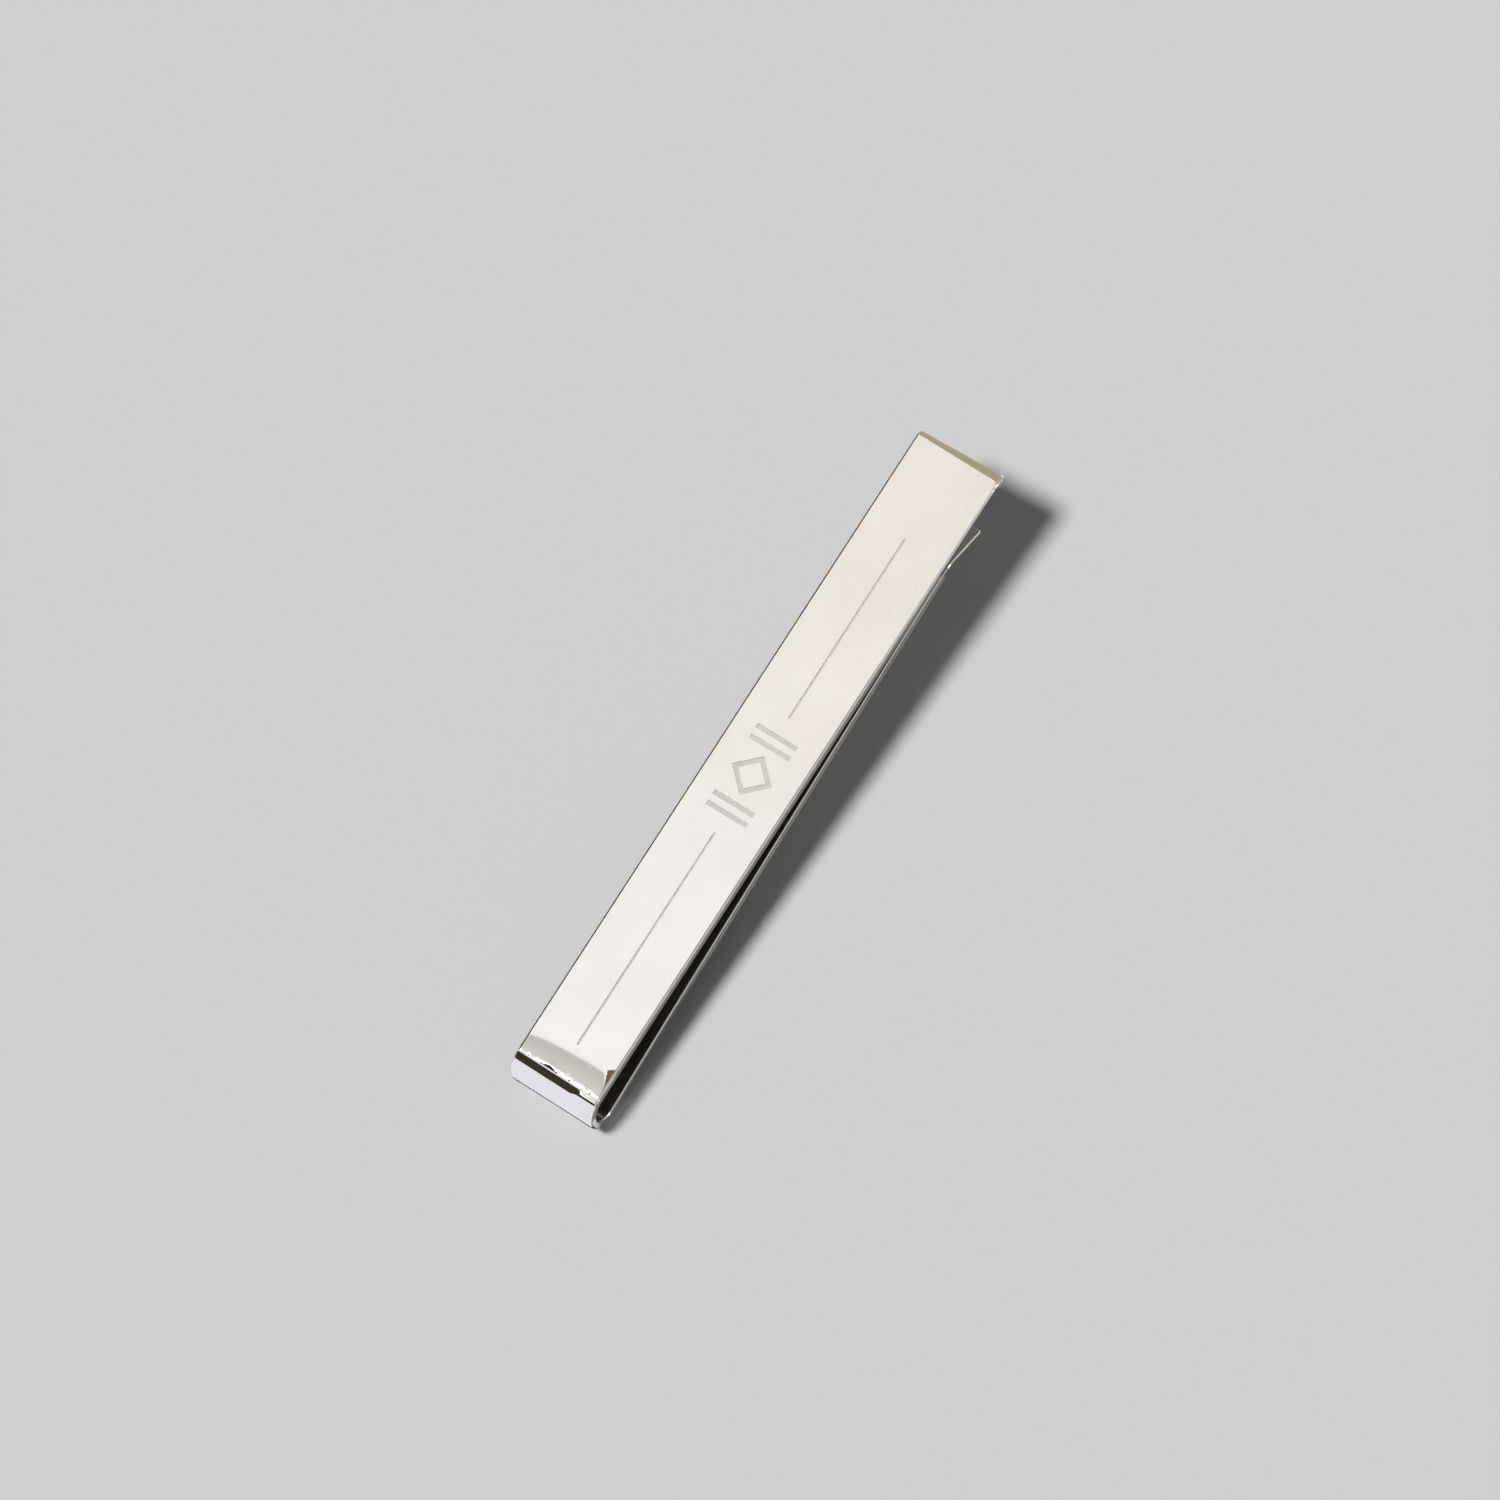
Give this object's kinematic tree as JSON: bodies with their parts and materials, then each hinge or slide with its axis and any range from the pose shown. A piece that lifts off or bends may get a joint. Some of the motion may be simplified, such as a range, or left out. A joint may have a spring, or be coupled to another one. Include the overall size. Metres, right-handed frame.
{
  "type": "slide-on tie clip",
  "caption": "Slide-on tie clip folded from one polished metal strip: flat engraved front bar, U-shaped spring bend, and a back leaf whose ridge presses the cloth against the bar.",
  "frame": {"origin": "on the plane under the spring bend, in the middle of the clip's length and width", "axes": "+X along the bar from the bend to the free end, +Z out of the engraved face, Y across the width"},
  "size_m": [0.055, 0.0074, 0.0039],
  "materials": {
    "polished_strip": "mirror polish with fine wiping marks, and frosted floors in the engraved marks"
  },
  "bodies": {
    "front": {"front_bar": "polished_strip", "spring_bend": "polished_strip"},
    "leaf": {"back_leaf": "polished_strip", "grip_ridge": "polished_strip", "lead_in_lip": "polished_strip"}
  },
  "joints": [
    {"name": "leaf_open", "type": "hinge", "parent": "front", "child": "leaf", "pos_m": [-0.02555, 0, 0.00195], "axis": [0, 1, 0], "range_deg": [0, 6], "stiffness_Nm_per_rad": 1.15, "deforming": ["spring_bend"]}
  ]
}
